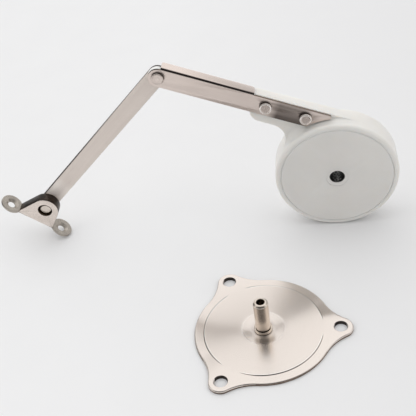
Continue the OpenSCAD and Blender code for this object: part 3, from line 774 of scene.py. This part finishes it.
def brushed_plate():
    """Bright nickel brushed in circles inside the step: streaks read along the radius and only slowly
    round the turn, in tint, roughness and bump, with the gloss drawn out across them. The step has a
    painted highlight and a painted dark line between the ears, where the cosine of three times the
    turn is low, a faint painted highlight marks where the dish begins, and the rounded edge has
    painted shade at the back."""
    # light and dark: the colours of the painted highlight and painted dark lines
    light, dark = (0.97, 0.94, 0.90), (0.12, 0.09, 0.075)
    made, tree, shader = finish("plate_nickel", Metallic=1.0, Anisotropic=0.8)
    place = add(tree, "TexCoord").outputs["Object"]
    shift, flat, radius = about_axis(tree, place, (plate_x, plate_y, 0.0), upright)
    round_it = vector(tree, "NORMALIZE", flat)
    slow = add(tree, "VectorMath", {"operation": "SCALE"}, i0=round_it, Scale=0.0016).outputs["Vector"]
    out = add(tree, "CombineXYZ", Z=radius).outputs["Vector"]
    streak = noise(tree, vector(tree, "ADD", slow, out), 1500.0, 5.0, 0.6)
    cloud = noise(tree, place, 45.0, 3.0)
    colour = tones(tree, streak, (0.35, (0.80, 0.73, 0.675)), (0.65, (0.815, 0.745, 0.69)))
    east = vector(tree, "DOT_PRODUCT", round_it, (cos(plate_turn), sin(plate_turn), 0.0))
    steep = calc(tree, "MULTIPLY_ADD", calc(tree, "MULTIPLY", east, east), 4.0, -3.0)
    between = span(tree, calc(tree, "MULTIPLY", steep, east), 1.0, 0.0, 0.74, 0.9)
    # painted lines: a highlight at the dish, a highlight and a dark line at the step
    for line, width, tone, share in ((10.9, 0.4, light, 0.5), (29.68, 0.25, light, between),
                                     (30.12, 0.3, dark, between)):
        off = calc(tree, "ABSOLUTE", calc(tree, "SUBTRACT", radius, line * mm))
        near = span(tree, off, 1.0, 0.0, 0.0, width * mm)
        colour = blend(tree, calc(tree, "MULTIPLY", near, share), colour, tone)
    # the rounded edge is painted darker where it faces the back, painted shade
    facing = add(tree, "SeparateXYZ", Vector=add(tree, "TexCoord").outputs["Normal"])
    edge = span(tree, facing.outputs["Z"], 0.75, 0.0, 0.55, 0.92)
    behind = span(tree, facing.outputs["Y"], 0.0, 1.0, -0.1, 0.15)
    colour = blend(tree, calc(tree, "MULTIPLY", edge, behind), colour, (0.22, 0.18, 0.15))
    rough = span(tree, calc(tree, "ADD", streak, cloud), 0.24, 0.22, 0.7, 1.3)
    bright = span(tree, radius, 0.0, 1.0, 29.6 * mm, 31.0 * mm)
    rough = add(tree, "Mix", i0=bright, i2=rough, i3=0.2).outputs[0]
    dished = span(tree, radius, 1.0, 0.0, 10 * mm, 13 * mm)
    rough = add(tree, "Mix", i0=dished, i2=rough, i3=0.28).outputs[0]
    feed(tree, shader, Base_Color=colour, Roughness=rough, Tangent=round_it,
         Normal=relief(tree, 0.008, 0.00002, streak))
    return made


def near_hole(at):
    """Points within the mouth of one of the three holes."""
    return np.hypot(at[:, :1] - hole_x, at[:, 1:2] - hole_y).min(1) < 3.7 * mm


def hole_back(at, n):
    """Upright faces at the back of one of the three holes, which were cut by the punch; they take a painted
    dark reflection.
    """
    return near_hole(at) & (n[:, 1] < -0.35)


def blanked_rim(at, n):
    """The upright wall of the plate's edge, below its rounding, without the holes' walls that look
    to the front or aside."""
    radius = np.hypot(at[:, 0] - plate_x, at[:, 1] - plate_y)
    wall = (np.abs(n[:, 2]) < 0.5) & (at[:, 2] < 1.15 * mm) & (radius > 34.5 * mm)
    return wall & ~(near_hole(at) & (n[:, 1] < 0.65))


blank = skin("blank", plate_grid(), (True, True))
plug = np.array([(0, -1), (3.3, -1), (3.3, 1.75), (3.55, 2.0), (3.55, 3), (0, 3)])
plugs = joined("plugs", [lathe_z("plug", plug, x, y, 64) for x, y in zip(hole_x, hole_y)])
drill = blank.modifiers.new("drill", "BOOLEAN")
drill.object, drill.solver = plugs, "EXACT"
bpy.context.view_layer.update()
mesh = bpy.data.meshes.new_from_object(blank.evaluated_get(bpy.context.evaluated_depsgraph_get()))
mesh.shade_smooth()
mesh.set_sharp_from_angle(angle=crease)
for spent in (blank, plugs):
    bpy.data.objects.remove(spent)
plate = linked("plate_pressing", mesh)
dressed(plate, "damper", "plate_nickel", "mounting_plate")
plate.data.materials.clear()
plate.data.materials.append(brushed_plate())
# the back walls of the holes are painted near black, a painted dark reflection
mark_edges(plate, painted_edge_shade, hole_back)
# the upright wall of the plate's edge is painted dark brown, painted shade
mark_edges(plate, cast_nickel("plate_wall_painted_shade", (0.34, 0.265, 0.215), (0.24, 0.185, 0.15), 0.26), blanked_rim)


# Pivot post: turned from steel, hollow at the top, riveted into the plate below its collar.
# The damper's bore turns on it, so it is the smoothest piece of the set.
def recessed(at, n):
    """The relief above the collar and the foot of the collar, which are painted near black as shade."""
    radius, high = np.hypot(at[:, 0] - plate_x, at[:, 1] - plate_y) / mm, at[:, 2] / mm
    return ((high > 2.95) & (high < 3.5) & (radius > 3)) | ((high > 1.12) & (high < 1.5) & (radius > 4.5))


section = rounded([(0, 0.02), (3.6, 0.02), (3.0, 0.68), (3.0, 1.1), (4.6, 1.1), (4.6, 1.5), (4.6, 2.9, 0.2),
                   (3.6, 2.9), (3.6, 3.3), (3.8, 3.5), (3.8, 19.7, 0.35), (2.9, 20.6, 0.35),
                   (2.1, 20.6, 0.2), (2.1, 6.6), (0, 6.3)])
post = lathe_z("post_turned", section, plate_x, plate_y, 128)
dressed(post, "damper", "post_nickel", "pivot_post")
post.data.materials.append(turned_nickel("post_nickel", (plate_x, plate_y, 0.0), upright,
                                         (0.76, 0.675, 0.59), (0.70, 0.615, 0.53), rough=0.2))
# the relief and the collar's foot are painted near black, painted shade
mark_edges(post, painted_edge_shade, recessed)


# Table, light and camera: a wide pale table under a bright window behind it, a soft key from the left
# at the back, a weak fill from the front and a weak sky. The metal doesn't mirror these lamps; it
# mirrors the window and a black card at the left, which shows in reflections only.
def sheet(name, corners):
    """A flat sheet between four corners."""
    mesh = bpy.data.meshes.new(name)
    mesh.from_pydata(corners, [], [(0, 1, 2, 3)])
    return linked(name, mesh)


table = sheet("table", [(-30, -30, 0), (30, -30, 0), (30, 30, 0), (-30, 30, 0)])
paper, tree, shader = finish("paper", Roughness=0.9, Specular_IOR_Level=0.1)
place = add(tree, "TexCoord").outputs["Object"]
fibre = noise(tree, place, 30.0, 3.0)
white = tones(tree, fibre, (0.3, (0.835, 0.835, 0.838)), (0.7, (0.845, 0.845, 0.848)))
# the table is painted darker towards the right, painted shade where the light falls off
aside = span(tree, add(tree, "SeparateXYZ", Vector=place).outputs["X"], 0.0, 1.0, -0.05, 0.25)
feed(tree, shader, Base_Color=blend(tree, aside, white, (0.755, 0.753, 0.758)))
table.data.materials.append(paper)

studio = bpy.data.worlds.new("studio")
bpy.context.scene.world = studio
studio.use_nodes = True
tree = studio.node_tree
background = tree.nodes["Background"]
way = add(tree, "TexCoord").outputs["Generated"]
back = span(tree, add(tree, "SeparateXYZ", Vector=way).outputs["Y"], 0.0, 1.0, -0.55, -0.05)
curtain = span(tree, vector(tree, "DOT_PRODUCT", way, (-0.84, 0.42, 0.34)), 1.0, 0.5, 0.76, 0.93)
wall = span(tree, vector(tree, "DOT_PRODUCT", way, (0.79, 0.61, 0.0)), 1.0, 0.45, 0.6, 0.95)
window = calc(tree, "MULTIPLY", calc(tree, "MULTIPLY", curtain, wall), back)
feed(tree, background, Color=tones(tree, window, (0.0, (0.13, 0.13, 0.133)), (1.0, (1.0, 1.0, 1.0))))
background.inputs["Strength"].default_value = 1.1


def sun(name, towards, strength, spread):
    """A wide soft lamp far away that shines along the given direction and isn't mirrored in the metal."""
    lamp = bpy.data.lights.new(name, "SUN")
    lamp.energy, lamp.angle = strength, radians(spread)
    made = linked(name, lamp)
    made.rotation_mode = "QUATERNION"
    made.rotation_quaternion = Vector(towards).to_track_quat("-Z", "Y")
    made.visible_glossy = False


sun("key", (0.55, -0.55, -1.0), 0.35, 70)
sun("fill", (0.1, 1.0, -0.55), 0.84, 120)
sun("sky", (0.0, 0.0, -1.0), 0.24, 170)

near, far, card_high = (-0.45, -0.04), (-0.26, 0.23), 0.14
card = sheet("card", [(*near, 0), (*far, 0), (*far, card_high), (*near, card_high)])
card.data.materials.append(finish("black_card", Roughness=0.9, Base_Color=(0.01, 0.01, 0.01, 1))[0])
card.visible_camera = card.visible_diffuse = card.visible_shadow = False

eye = bpy.data.cameras.new("eye")
eye.lens, eye.sensor_width = 72.252, 36
camera = linked("eye", eye)
camera.rotation_mode = "QUATERNION"
camera.location = (damper_x - 14.06 * mm, damper_face - 363.26 * mm, 314.94 * mm)
look, roll = Vector((-0.1245, 0.7674, -0.6290)), radians(-9.08898)
camera.rotation_quaternion = look.to_track_quat("-Z", "Y") @ Quaternion((0, 0, 1), roll)
bpy.context.scene.camera = camera
bpy.context.scene.view_settings.view_transform = "Standard"
